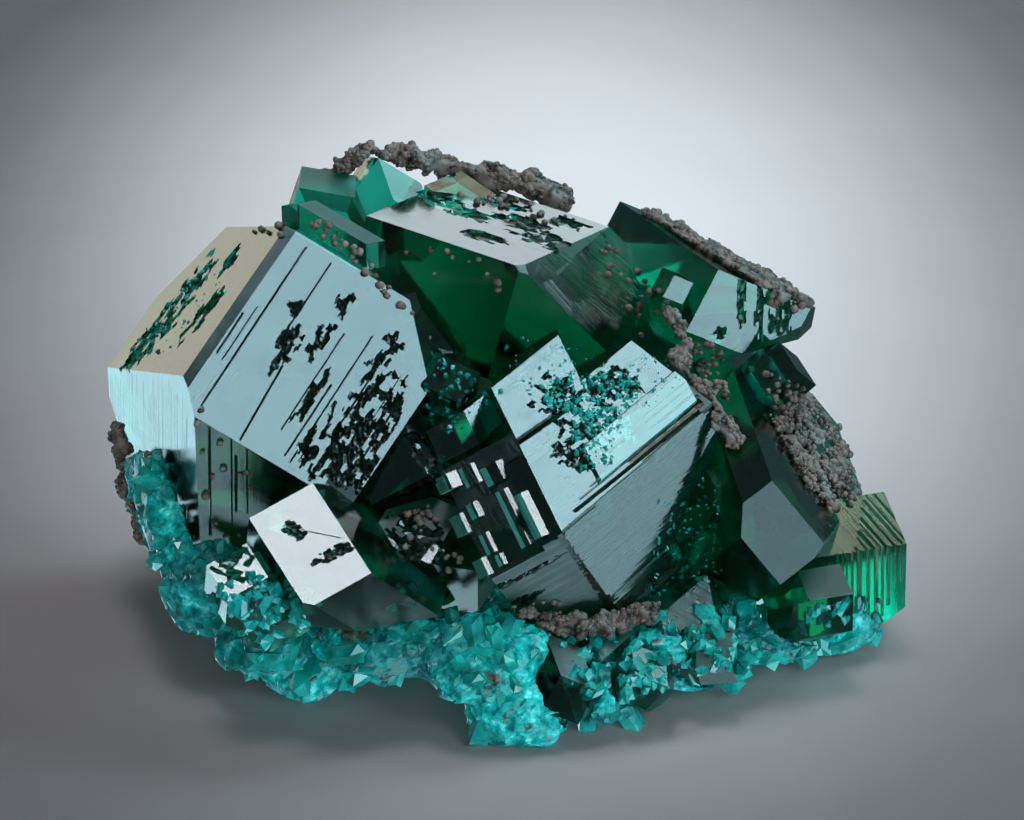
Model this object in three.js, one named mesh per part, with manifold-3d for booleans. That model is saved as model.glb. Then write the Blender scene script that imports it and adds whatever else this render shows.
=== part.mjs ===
// Dioptase specimen: large, stubby green crystals grown together on a blue-green matrix, with druse crusts.
// Millimetres, +X right, +Y away from the front, +Z up. Points are measured from the specimen's middle.
// A last step moves the whole so that it rests at z = 0 with the middle of its box over the origin.

import * as THREE from "three";
import { ConvexGeometry } from "three/addons/geometries/ConvexGeometry.js";
import { mergeVertices } from "three/addons/utils/BufferGeometryUtils.js";
import Module from "manifold-3d";

const wasm = await Module();
wasm.setup();

// Driving dimensions
const GROUND_HEIGHT = -13.2; // height of the table, measured from the specimen's middle
const CONTACT_GAP = 0.3; // open gap kept between one piece and the next
const RHOMB_TILT = 50.97; // degrees between the crystal's long axis and the normal of an end face
const CRYSTAL_CLEARANCE = 0.7; // height of the lowest crystal point above the table
const LUMP_POINTS = 30; // points scattered over each lump of the matrix
const LUMP_ROUGHNESS = 0.22; // how far, as a share of its size, a point may lie inside its lump's surface
const GOLDEN_TURN = Math.PI * (3 - Math.sqrt(5)); // turn from one scattered point to the next
const CRUST_POINTS = 11; // points scattered over each lump of a crust
const CRUST_SPACING = 0.92; // distance between crust lumps, as a share of their radius
const CRUST_SMALLEST = 0.7; // the smallest crust lump, as a share of the largest
const CRUST_FLATNESS = 0.8; // height of a crust lump, as a share of its width
const POINT_WANDER = 0.5; // radians by which a scattered point may turn away from its even place
const MATRIX_ALLOWANCE = 0.088; // added to the gap between matrix and crusts, because the matrix is uneven
const MATRIX_SEED = 11; // picks the lumps' shapes
const CRUST_SEED = 501; // picks the crusts' shapes
const CRUST_SEED_STEP = 100; // from one crust's seed to the next
const LUMP_SEED_STEP = 7; // from one crust lump's seed to the next
const BLOCK_SIDE = 80; // side of the block that keeps what lies above a level, larger than the specimen
const SAME_POINT = 1e-4; // points closer than this are one
const NO_CORNER = 1e-6; // faces this nearly parallel meet in no corner

// Colours and how matt each material is
const DIOPTASE = { colour: 0x0b6b55, roughness: 0.15 };
const MATRIX = { colour: 0x2e9c97, roughness: 0.8 };
const DRUSE = { colour: 0x6d5a52, roughness: 0.9 };

// Angles and vectors
const radians = (degrees) => (degrees * Math.PI) / 180;
const vector = (x, y, z) => new THREE.Vector3(x, y, z);

// A repeatable source of numbers between 0 and 1: each state is the last one multiplied and stepped on.
const CHANCE_MULTIPLIER = 1664525;
const CHANCE_STEP = 1013904223;
const CHANCE_RANGE = 2 ** 32;

function chance(seed) {
  let state = seed >>> 0;
  return () => {
    state = (Math.imul(state, CHANCE_MULTIPLIER) + CHANCE_STEP) >>> 0;
    return state / CHANCE_RANGE;
  };
}

// Solids
function solidFrom(geometry) {
  const bare = geometry.clone();
  bare.deleteAttribute("normal");
  bare.deleteAttribute("uv");
  const merged = mergeVertices(bare, SAME_POINT);
  const mesh = new wasm.Mesh({
    numProp: 3,
    vertProperties: new Float32Array(merged.attributes.position.array),
    triVerts: new Uint32Array(merged.index.array),
  });
  return new wasm.Manifold(mesh);
}

function hullOf(points) {
  return solidFrom(new ConvexGeometry(points));
}

function joined(solids) {
  return solids.reduce((all, one) => all.add(one));
}

// The largest connected body of a solid, as plain geometry: loose chips left by a cut are dropped.
function largestBody(solid) {
  const mesh = solid.getMesh();
  const parent = Array.from({ length: mesh.vertProperties.length / mesh.numProp }, (_, i) => i);
  const rootOf = (i) => {
    while (parent[i] !== i) {
      parent[i] = parent[parent[i]];
      i = parent[i];
    }
    return i;
  };
  for (let t = 0; t < mesh.triVerts.length; t += 3) {
    parent[rootOf(mesh.triVerts[t])] = rootOf(mesh.triVerts[t + 1]);
    parent[rootOf(mesh.triVerts[t + 2])] = rootOf(mesh.triVerts[t + 1]);
  }
  const corner = (i) => {
    const at = i * mesh.numProp;
    return vector(mesh.vertProperties[at], mesh.vertProperties[at + 1], mesh.vertProperties[at + 2]);
  };
  const bodies = new Map();
  for (let t = 0; t < mesh.triVerts.length; t += 3) {
    const body = rootOf(mesh.triVerts[t]);
    const held = bodies.get(body) ?? { volume: 0, points: [] };
    const [a, b, c] = [0, 1, 2].map((k) => corner(mesh.triVerts[t + k]));
    held.volume += a.dot(b.clone().cross(c)) / 6;
    held.points.push(a, b, c);
    bodies.set(body, held);
  }
  const largest = [...bodies.values()].sort((one, other) => other.volume - one.volume)[0];
  return new THREE.BufferGeometry().setFromPoints(largest.points);
}

// Crystals
// Dioptase faces are named by a letter and their azimuth in degrees around the crystal's long axis. The letter
// says how far the face looks outwards from the axis, and how far along it. Two names joined by + are a bevel
// half-way between them.
const RHOMB_OUT = Math.sin(radians(RHOMB_TILT));
const RHOMB_ALONG = Math.cos(radians(RHOMB_TILT));
const FACE_KINDS = {
  a: { outward: 1, along: 0 }, // side face of the six-sided prism
  m: { outward: 1, along: 0 }, // bevel between two side faces
  r: { outward: RHOMB_OUT, along: RHOMB_ALONG }, // face of the near end
  t: { outward: RHOMB_OUT, along: -RHOMB_ALONG }, // face of the far end
  c: { outward: 0, along: -1 }, // flat far end, hidden in the rest of the specimen
};

function faceNormal(name, frame) {
  if (name.includes("+")) {
    const normals = name.split("+").map((part) => faceNormal(part, frame));
    return normals.reduce((sum, one) => sum.add(one), vector(0, 0, 0)).normalize();
  }
  const azimuth = radians(Number(name.slice(1)));
  const { outward, along } = FACE_KINDS[name[0]];
  return frame.zero.clone().multiplyScalar(outward * Math.cos(azimuth))
    .addScaledVector(frame.quarter, outward * Math.sin(azimuth))
    .addScaledVector(frame.axis, along);
}

// The crystal's own directions: its axis leans from the vertical towards a compass angle, then it is spun about
// that axis.
function crystalFrame({ lean, towards, spin }) {
  const [l, t, s] = [lean, towards, spin].map(radians);
  const axis = vector(Math.sin(l) * Math.cos(t), Math.sin(l) * Math.sin(t), Math.cos(l));
  const down = vector(Math.cos(t) * Math.cos(l), Math.sin(t) * Math.cos(l), -Math.sin(l));
  const side = axis.clone().cross(down);
  const quarter = down.clone().multiplyScalar(Math.cos(s)).addScaledVector(side, Math.sin(s));
  return { axis, quarter, zero: quarter.clone().cross(axis) };
}

// The points where three faces meet and no other face cuts them off.
function cornersOf(planes) {
  const corners = [];
  for (let i = 0; i < planes.length; i += 1) {
    for (let j = i + 1; j < planes.length; j += 1) {
      for (let k = j + 1; k < planes.length; k += 1) {
        const [p, q, r] = [planes[i], planes[j], planes[k]];
        const qr = q.normal.clone().cross(r.normal);
        const size = p.normal.dot(qr);
        if (Math.abs(size) < NO_CORNER) continue;
        const point = qr.multiplyScalar(p.reach)
          .addScaledVector(r.normal.clone().cross(p.normal), q.reach)
          .addScaledVector(p.normal.clone().cross(q.normal), r.reach)
          .divideScalar(size);
        const kept = planes.every((plane) => plane.normal.dot(point) <= plane.reach + NO_CORNER);
        if (kept) corners.push(point);
      }
    }
  }
  return corners;
}

// One crystal: every face lies its reach out from the crystal's reference corner. Its foot is where it ends in
// the matrix. Grown makes it larger all round.
function crystal(shape, grown = 0) {
  const frame = crystalFrame(shape);
  const at = vector(...shape.corner);
  const planes = Object.entries(shape.faces).map(([name, reach]) => {
    const normal = faceNormal(name, frame);
    return { normal, reach: reach + grown + normal.dot(at) };
  });
  for (const cut of shape.cuts ?? []) {
    const normal = vector(...cut.facing).normalize();
    planes.push({ normal, reach: cut.reach + grown + normal.dot(at) });
  }
  if (shape.foot !== undefined) planes.push({ normal: vector(0, 0, -1), reach: grown - shape.foot });
  return hullOf(cornersOf(planes));
}

// A copy of a crystal with some of its faces moved in or out: a growth step or a block standing on it.
function stepped(shape, faces) {
  return { ...shape, faces: { ...shape.faces, ...faces } };
}

// A short six-sided crystal with both ends pointed, measured from its own middle.
function stub(middle, lean, towards, spin, halfWidth, halfLength) {
  const end = halfLength * RHOMB_ALONG;
  const faces = { r30: end, r150: end, r270: end, t90: end, t210: end, t330: end };
  for (let azimuth = 0; azimuth < 360; azimuth += 60) {
    faces[`a${azimuth}`] = halfWidth;
  }
  return { corner: middle, lean, towards, spin, faces };
}

// Left: the largest crystal, upright, with a broad pale end face to the front.
const LEFT = {
  corner: [-16, -4, 3.4], lean: 13.4, towards: -89.8, spin: -39.5,
  faces: {
    r150: 0, r30: 0, r270: 9.1, a60: 0, a120: 1.1, a180: 7.7, a0: 12.7, a240: 12, a300: 16,
    c0: 12, "r30+r150": -0.3, "r150+a120": 0.62,
  },
  cuts: [{ facing: [-0.4, 0.55, -0.75], reach: 16.2 }],
  foot: -8.4,
};

// Lower left: a crystal lying on its side, showing one bright square end face.
const LOWER_LEFT = {
  corner: [-6.8, -10.4, -4.3], lean: 52.1, towards: -168, spin: 79,
  faces: { r150: 0, a120: 0, a180: 0, r30: 3.66, r270: 6.1, a60: 2.4, a0: 5, a240: 5.6, a300: 8, c0: 7 },
  foot: -6.9,
};

// Centre: the crystal in front, lying with its end towards the lower left.
const CENTRE = {
  corner: [2.4, -10.5, -2.1], lean: 98.3, towards: -123.8, spin: 121.3,
  faces: {
    a120: 0, a60: 0, r30: 0, r150: -0.7, r270: 4.2, a180: 4.6, a0: 7.2, t90: 9.2, a240: 9, a300: 9,
    c0: 14, "a60+a120": -0.04,
  },
  foot: -9.0,
};
const CENTRE_STEPS = [
  stepped(CENTRE, { r150: 0, r270: -0.6, t90: 5.2 }),
  stepped(CENTRE, { r150: -0.3, r270: 1.2, a180: 3.6 }),
  stepped(CENTRE, { r150: -0.1, r270: 0.3, a180: 1.8 }),
  stepped(CENTRE, { r150: 0, r270: 0, a180: 6.9, t90: 3.8 }),
  stepped(CENTRE, { a120: 0.16, a180: 2.3, r150: -2.4, t90: 8.2, a60: -0.5 }),
];

// Top: the crystal leaning back behind the centre, with its deep green end face to the front.
const TOP = {
  corner: [0.4, 3.6, 6.3], lean: 42.3, towards: -165.6, spin: 120.6,
  faces: {
    r150: 0, r30: 0, a60: 0, a120: 0, r270: 9.3, a180: 7.5, a0: 4.5, a240: 12.5, a300: 9, c0: 12,
    "a60+a120+r150": -0.18,
  },
  cuts: [{ facing: [0.1, 1, 0.1], reach: 13.4 }],
  foot: -2.5,
};

// Right top: the crystal that ends in a point, crusted behind.
const RIGHT_TOP = {
  corner: [10.5, 6.4, 5.1], lean: 35.9, towards: -84.1, spin: -155.3,
  faces: {
    r150: 0, r270: 0, r30: 0, a120: 7.9, a180: 2.6, a240: 2.6, a300: 4.4, a0: 5, a60: 8, c0: 9, m270: 3,
  },
  cuts: [{ facing: [0.15, 1, 0.1], reach: 9.6 }],
  foot: 0.4,
};

// Right middle: a long crystal running back from a small pale end face.
const RIGHT_MIDDLE = {
  corner: [12.9, -3.2, -2.5], lean: 105.9, towards: -79.5, spin: 103.7,
  faces: {
    r150: 0, a180: 0, a120: 0, r270: 3.3, r30: 4.3, a240: 1.5, a60: 11, t90: 12.6, a0: 9, a300: 8, c0: 14.6,
  },
  cuts: [{ facing: [0.86, -0.29, -0.44], reach: 3.75 }],
  foot: -8.6,
};

// Right bottom: the crystal at the far right, striped gold above and dark below.
const RIGHT_BOTTOM = {
  corner: [19.9, -0.7, -7], lean: 64.5, towards: -36.5, spin: 134.1,
  faces: {
    r150: 0, r270: 0, r30: 0, a120: 3, a180: 3.6, a240: 4.6, a300: 4.2, a0: 6, a60: 8, c0: 7, m270: 3.7,
  },
  cuts: [{ facing: [0.6, -0.3, -0.75], reach: 2.7 }],
};

// Small crystals, each from its own middle: where it lies, its lean, direction and spin, half its width and half
// its length.
const SMALL_CRYSTALS = [
  stub([-8.9, 2.6, 8.3], 62, 168, 20, 0.95, 3.0), // along the upper edge of the left crystal
  stub([-9.6, 13.6, 5.0], 40, 130, 10, 2.2, 3.4), // top rear, left end
  stub([-6.6, 14.4, 5.4], 48, 115, 50, 2.0, 3.4), // top rear, middle
  stub([-3.0, 15.0, 4.4], 35, 80, 15, 1.9, 3.0), // top rear, right end
  stub([-4.6, -1.2, -2.6], 98, -124, 121, 2.4, 4.2), // dark hollow between the left and the centre
  stub([-3.6, -3.6, -6.0], 70, -150, 90, 2.6, 4.2), // dark hollow, lower
  stub([-3.4, 0.6, 1.2], 92, -72, 125, 1.5, 2.6), // dark hollow, upper
  stub([-1.6, -1.2, -0.8], 98, -124, 121, 1.6, 3.4), // dark hollow, beside the centre
  stub([-12.4, -8.2, -6.6], 52, -168, 79, 1.7, 3.2), // lower left, in front of the matrix
  stub([4.4, -6.4, -10.1], 98, -124, 121, 1.7, 3.6), // under the centre
  stub([8.2, -4.4, -9.9], 112, -140, 100, 1.8, 3.6), // under the centre, right
  stub([9.4, -6.4, -10.4], 80, -60, 30, 1.3, 2.8), // lower right, near the table
  stub([6.4, -8.4, -10.9], 60, -100, 75, 1.4, 2.8), // lower middle
  stub([2.4, -9.4, -10.4], 120, -70, 20, 1.4, 2.8), // lower middle, left
  stub([8.1, 7.2, 3.2], 36, -84, -155, 0.9, 2.2), // in front of the right top crystal
  stub([13.4, 6.6, -1.0], 60, -60, 60, 1.5, 2.6), // between the right top and the right middle
  stub([10.5, 0.8, -5.6], 98, -124, 121, 2.2, 4.0), // dark strip right of the centre
  stub([14.6, -3.4, -9.2], 64, -36, 134, 1.7, 3.2), // under the right middle
  stub([-13.5, 10.5, -3.0], 75, 120, 30, 3.2, 5.0), // back, left
  stub([-2.0, 13.0, -3.0], 80, 85, 10, 3.4, 5.2), // back, middle
  stub([10.5, 11.5, -4.5], 70, 60, 45, 3.0, 5.2), // back, right
  stub([4.0, 14.5, 0.5], 60, 95, 70, 2.2, 3.6), // back, upper
];

// Below the top crystal: a dark crystal whose corner shows as two bright lines.
const UNDER_TOP = {
  corner: [-2.9, 1.5, 2.6], lean: 61.8, towards: -105.7, spin: 41.1,
  faces: { r150: 0, a120: 0, a180: 0, r30: 2.4, r270: 2.8, a60: 2.6, a0: 4, a240: 3.2, a300: 5, c0: 6 },
};

const CRYSTALS = [
  LEFT, LOWER_LEFT, CENTRE, ...CENTRE_STEPS, TOP, RIGHT_TOP, RIGHT_MIDDLE, RIGHT_BOTTOM, UNDER_TOP,
  ...SMALL_CRYSTALS,
];

// Everything above a level: the crystals end a little above the table, in the matrix.
function upperHalf(level) {
  const block = new THREE.BoxGeometry(BLOCK_SIDE, BLOCK_SIDE, BLOCK_SIDE);
  block.translate(0, 0, level + BLOCK_SIDE / 2);
  return solidFrom(block);
}

function intergrownCrystals(grown) {
  const all = joined(CRYSTALS.map((shape) => crystal(shape, grown)));
  return all.intersect(upperHalf(GROUND_HEIGHT + CRYSTAL_CLEARANCE - grown));
}

// Matrix
// A rough lump: the hull of points scattered near an egg-shaped surface.
function lump(middle, radii, seed, points = LUMP_POINTS) {
  const next = chance(seed);
  const spread = [];
  for (let i = 0; i < points; i += 1) {
    const height = 1 - (2 * (i + 0.5)) / points;
    const turn = i * GOLDEN_TURN + next() * POINT_WANDER;
    const out = Math.sqrt(1 - height * height);
    const size = 1 - LUMP_ROUGHNESS * next();
    spread.push(vector(
      middle[0] + radii[0] * size * out * Math.cos(turn),
      middle[1] + radii[1] * size * out * Math.sin(turn),
      middle[2] + radii[2] * size * height,
    ));
  }
  return hullOf(spread);
}

// Lumps of the matrix: middle and half sizes, from the core outwards.
const MATRIX_LUMPS = [
  [[-1, 3, -6], [15, 9.5, 5.8]], // core under all the crystals
  [[2.5, -2.5, -10.3], [12.5, 8.5, 2.3]], // sole under the front
  [[-14, 3, -6.2], [6.2, 6.4, 5.0]], // left shoulder
  [[-14.9, -2.2, -8.2], [3.2, 4.0, 3.2]], // left front
  [[-12.2, -5.2, -9.9], [3.2, 3.2, 2.4]], // left foot, front
  [[-10.4, -4.6, -11.4], [3.0, 3.0, 2.6]], // left foot
  [[-6.4, -8.2, -8.8], [4.0, 2.9, 2.0]], // shelf under the lower left crystal
  [[-1.2, -9.6, -9.4], [3.8, 3.0, 2.6]], // front bulge
  [[0.6, -10.0, -11.6], [3.2, 2.8, 2.4]], // front foot
  [[4.2, -8.6, -11.2], [3.6, 2.8, 2.0]], // front, right of the foot
  [[8.6, -5.0, -10.8], [4.2, 3.4, 2.0]], // right front
  [[12.6, -2.6, -10.6], [3.6, 3.4, 2.0]], // under the right middle
  [[15.6, 1.4, -11.4], [4.0, 4.2, 2.6]], // right foot
  [[8.0, 6.0, -7.6], [8.6, 6.2, 4.8]], // right rear core
  [[1.0, 8.0, -9.4], [8.0, 5.4, 4.6]], // rear foot
  [[-8.2, 8.8, -10.4], [4.8, 4.2, 3.4]], // rear foot, left
  [[-8.0, 12.0, -2.0], [5.4, 5.0, 5.4]], // upper rear, left
  [[-2.0, 13.2, -5.0], [7.0, 4.6, 4.6]], // rear, middle
  [[6.8, 12.2, -5.2], [6.4, 4.6, 4.4]], // rear, right
  [[-17.9, 6.4, -6.6], [2.4, 3.4, 2.6]], // left edge below the left crystal
];

function matrixRock(crystals) {
  const lumps = MATRIX_LUMPS.map(([middle, radii], index) => lump(middle, radii, MATRIX_SEED + index));
  return joined(lumps).intersect(upperHalf(GROUND_HEIGHT)).subtract(crystals);
}

// Druse crusts
// Lumps set in rows over a patch between two lines of stops, close enough to be one body.
function crust({ near, far, rows, radius }, seed) {
  const next = chance(seed);
  const lumps = [];
  for (let row = 0; row < rows; row += 1) {
    const share = rows === 1 ? 0 : row / (rows - 1);
    const line = near.map((stop, i) => vector(...stop).lerp(vector(...(far ?? near)[i]), share));
    for (let i = 0; i + 1 < line.length; i += 1) {
      const count = Math.max(1, Math.round(line[i].distanceTo(line[i + 1]) / (radius * CRUST_SPACING)));
      for (let step = 0; step < count; step += 1) {
        const at = line[i].clone().lerp(line[i + 1], (step + 0.5 * (row % 2)) / count);
        const size = radius * (CRUST_SMALLEST + (1 - CRUST_SMALLEST) * next());
        const radii = [size, size, size * CRUST_FLATNESS];
        lumps.push(lump([at.x, at.y, at.z], radii, seed + 1 + lumps.length * LUMP_SEED_STEP, CRUST_POINTS));
      }
    }
  }
  return joined(lumps);
}

const CRUSTS = {
  // on the hidden top face of the right top crystal, showing along its skyline
  druse_right_top: {
    radius: 1.3, rows: 3,
    near: [[7.6, 14.4, 5.1], [9.8, 11.6, 4.7], [12.0, 8.6, 4.1], [13.8, 7.5, 3.4], [15.0, 7.5, 2.2]],
    far: [[7.6, 15.2, 4.9], [10.3, 13.6, 3.9], [12.4, 11.8, 3.3], [14.2, 9.8, 2.9], [15.1, 9.2, 1.6]],
  },
  // on the long side face of the right middle crystal
  druse_right_middle: {
    radius: 1.3, rows: 6,
    near: [[12.9, 9.0, -1.0], [14.8, 10.9, -2.9], [16.6, 10.4, -4.9], [18.2, 9.0, -7.0]],
    far: [[13.5, 4.8, -1.8], [14.5, 2.8, -3.2], [15.5, 0.8, -4.6], [16.6, 0.8, -5.8]],
  },
  // along the far edge of the centre crystal
  druse_centre_edge: {
    radius: 0.85, rows: 1,
    near: [[8.1, 5.2, 2.7], [9.1, 3.6, 1.5], [10.2, 1.6, 0.2], [11.1, -0.4, -1.3], [11.5, 0.2, -2.6]],
  },
  // under the centre crystal
  druse_front_band: {
    radius: 1.05, rows: 1,
    near: [
      [0.6, -9.0, -7.5], [2.4, -8.2, -8.2], [4.5, -8.1, -8.1], [6.3, -6.6, -8.3], [7.8, -4.8, -8.6],
      [9.2, -2.8, -9.0],
    ],
  },
  // along the rear rim
  druse_top_rear: {
    radius: 1.3, rows: 1,
    near: [
      [-9.8, 15.2, 6.9], [-7.8, 15.8, 7.9], [-5.6, 16.2, 7.8], [-3.4, 17.0, 6.9], [-1.2, 17.4, 6.3],
      [0.8, 17.6, 5.8], [2.5, 17.5, 5.0], [3.4, 17.2, 4.2],
    ],
  },
  // at the left edge below the left crystal
  druse_left_edge: {
    radius: 1.15, rows: 1,
    near: [[-20.4, 8.2, -4.6], [-20.2, 6.8, -6.0], [-19.6, 4.6, -7.4], [-18.5, 1.8, -8.6]],
  },
};

function meshOf(name, geometry, { colour, roughness }) {
  const material = new THREE.MeshStandardMaterial({ color: colour, roughness, metalness: 0 });
  const mesh = new THREE.Mesh(geometry, material);
  mesh.name = name;
  return mesh;
}

function specimen() {
  const crystals = intergrownCrystals(0);
  const room = intergrownCrystals(CONTACT_GAP);
  const matrix = matrixRock(room);
  const group = new THREE.Group();
  group.name = "dioptase_specimen";
  group.add(meshOf("dioptase_crystals", largestBody(crystals), DIOPTASE));
  group.add(meshOf("matrix", largestBody(matrix), MATRIX));
  const taken = room.add(grownMatrix());
  Object.entries(CRUSTS).forEach(([name, patch], index) => {
    const body = crust(patch, CRUST_SEED + index * CRUST_SEED_STEP).subtract(taken);
    group.add(meshOf(name, largestBody(body), DRUSE));
  });
  return group;
}

// The matrix made larger all round, to keep the crusts clear of it.
function grownMatrix() {
  const lumps = MATRIX_LUMPS.map(([middle, radii], index) => {
    const larger = radii.map((radius) => radius + CONTACT_GAP + MATRIX_ALLOWANCE);
    return lump(middle, larger, MATRIX_SEED + index);
  });
  return joined(lumps);
}

const group = specimen();
const box = new THREE.Box3().setFromObject(group);
group.position.set(-(box.min.x + box.max.x) / 2, -(box.min.y + box.max.y) / 2, -GROUND_HEIGHT);

export default group;
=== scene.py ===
"""Looks of the dioptase specimen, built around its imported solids. Metres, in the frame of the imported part."""

import math
import random

import bmesh
import bpy
import numpy as np
from mathutils import Matrix, Vector, noise
from mathutils.bvhtree import BVHTree


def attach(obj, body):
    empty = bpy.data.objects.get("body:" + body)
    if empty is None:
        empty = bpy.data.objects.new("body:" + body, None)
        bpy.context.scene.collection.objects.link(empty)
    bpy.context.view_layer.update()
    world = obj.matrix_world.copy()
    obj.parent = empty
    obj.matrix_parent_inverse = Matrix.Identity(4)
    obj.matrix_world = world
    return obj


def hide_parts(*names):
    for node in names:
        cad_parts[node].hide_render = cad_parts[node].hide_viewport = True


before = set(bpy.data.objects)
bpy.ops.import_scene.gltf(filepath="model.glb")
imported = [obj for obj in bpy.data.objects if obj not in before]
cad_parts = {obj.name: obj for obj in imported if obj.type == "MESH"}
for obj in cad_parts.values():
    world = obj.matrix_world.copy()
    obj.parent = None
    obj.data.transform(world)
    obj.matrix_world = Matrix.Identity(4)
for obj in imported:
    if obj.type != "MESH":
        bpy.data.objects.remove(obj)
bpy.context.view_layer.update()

MM = 0.001

# The photograph's camera
PICTURE_MIDDLE = (512, 410)  # pixels
PICTURE_WIDTH = 1024  # pixels
CAMERA_AIM = Vector((0.66, -3.24, 13.2)) * MM  # the middle of the specimen as the photograph sees it
CAMERA_HEIGHT_ANGLE = math.radians(22)  # above the horizon
CAMERA_DISTANCE = 240 * MM
FOCAL_PIXELS = 4800
SENSOR_WIDTH = 36  # millimetres of film
CAMERA_NEAR = 10 * MM
CAMERA_FAR = 10  # metres

TOWARDS_CAMERA = Vector((0, -math.cos(CAMERA_HEIGHT_ANGLE), math.sin(CAMERA_HEIGHT_ANGLE)))
PICTURE_UP = Vector((0, math.sin(CAMERA_HEIGHT_ANGLE), math.cos(CAMERA_HEIGHT_ANGLE)))
PICTURE_RIGHT = Vector((1, 0, 0))
CAMERA_PLACE = CAMERA_AIM + TOWARDS_CAMERA * CAMERA_DISTANCE


def make_camera():
    """The camera that takes the photograph's view."""
    data = bpy.data.cameras.new("camera")
    data.sensor_width = SENSOR_WIDTH
    data.lens = SENSOR_WIDTH * FOCAL_PIXELS / PICTURE_WIDTH
    data.clip_start = CAMERA_NEAR
    data.clip_end = CAMERA_FAR
    camera = bpy.data.objects.new("camera", data)
    camera.location = CAMERA_PLACE
    camera.rotation_euler = TOWARDS_CAMERA.to_track_quat("Z", "Y").to_euler()
    bpy.context.collection.objects.link(camera)
    bpy.context.scene.camera = camera


# The colours of the lights
CYAN = (0.54, 0.90, 1.0)
PALE = (0.82, 0.94, 1.0)
WARM = (1.0, 0.94, 0.74)
ROSE = (1.0, 0.94, 0.95)
NEARLY_WHITE = (1.0, 0.98, 0.96)

# The studio's lights: the direction each lies in, its width and height in degrees, how bright it looks, and
# its colour. Those below the table show only in reflections.
LIGHTS = {
    "front_right": ((0.52, -0.70, 0.50), (22, 17), 7.6, CYAN),
    "front_right_edge": ((0.74, -0.42, 0.55), (12, 16), 2.4, CYAN),
    "rear_right": ((0.50, 0.40, 0.77), (20, 22), 8.0, CYAN),
    "rear_warm": ((0.18, 0.54, 0.82), (9, 12), 3.0, WARM),
    "top": ((-0.09, 0.05, 0.99), (16, 16), 11.0, PALE),
    "left_high": ((-0.54, 0.02, 0.84), (10, 10), 2.0, CYAN),
    "back": ((0.07, 0.97, 0.24), (18, 14), 2.2, PALE),
    "back_left": ((-0.37, 0.92, -0.10), (20, 18), 0.95, WARM),
    "left_low": ((-0.52, 0.74, -0.42), (26, 26), 2.2, CYAN),
    "right_low": ((0.77, -0.61, -0.19), (26, 22), 6.0, CYAN),
    "below": ((0.30, -0.09, -0.95), (26, 26), 3.0, CYAN),
    "right": ((0.80, 0.27, 0.53), (34, 30), 3.4, CYAN),
    "front_low": ((0.12, -0.72, -0.68), (34, 26), 4.0, CYAN),
    "front_left_low": ((-0.31, -0.59, -0.75), (22, 22), 2.0, CYAN),
}
# Broad lights that the crystals do not mirror
FILLS = {
    "fill_above": ((0.05, 0.30, 0.95), (60, 60), 0.55, ROSE),
    "fill_front": ((0.10, -0.93, 0.30), (50, 30), 2.4, NEARLY_WHITE),
}
LIGHT_DISTANCE = 400 * MM
ROOM_COLOUR = (0.45, 0.95, 1.0, 1)
ROOM_BRIGHTNESS = 0.12


def softbox(name, towards, size, brightness, colour, mirrored=True):
    """A rectangular studio light that faces the specimen."""
    width, height = (2 * LIGHT_DISTANCE * math.tan(math.radians(angle / 2)) for angle in size)
    data = bpy.data.lights.new(name, "AREA")
    data.shape = "RECTANGLE"
    data.size = width
    data.size_y = height
    data.energy = brightness * width * height * math.pi
    data.color = colour
    light = bpy.data.objects.new("light_" + name, data)
    away = Vector(towards).normalized()
    light.location = CAMERA_AIM + away * LIGHT_DISTANCE
    light.rotation_euler = away.to_track_quat("Z", "Y").to_euler()
    light.visible_camera = False
    light.visible_glossy = mirrored
    light.visible_transmission = mirrored
    bpy.context.collection.objects.link(light)


def make_lights():
    """All softboxes, and a dim room that only reflections show."""
    for name, light in LIGHTS.items():
        softbox(name, *light)
    for name, light in FILLS.items():
        softbox(name, *light, mirrored=False)
    world = bpy.data.worlds.new("studio")
    bpy.context.scene.world = world
    world.use_nodes = True
    background = world.node_tree.nodes["Background"]
    background.inputs["Color"].default_value = ROOM_COLOUR
    background.inputs["Strength"].default_value = ROOM_BRIGHTNESS
    world.cycles_visibility.diffuse = False


def as_object(name, mesh):
    """Puts a mesh into the scene."""
    thing = bpy.data.objects.new(name, mesh)
    bpy.context.collection.objects.link(thing)
    return thing


SHADER_SOCKETS = {
    "colour": "Base Color", "roughness": "Roughness", "ior": "IOR", "transmission": "Transmission Weight",
    "normal": "Normal",
}

# A colour mix node's sockets, by number: the share, the two colours and the result
MIX_INPUTS = (0, 6, 7)
MIX_RESULT = 2


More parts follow.
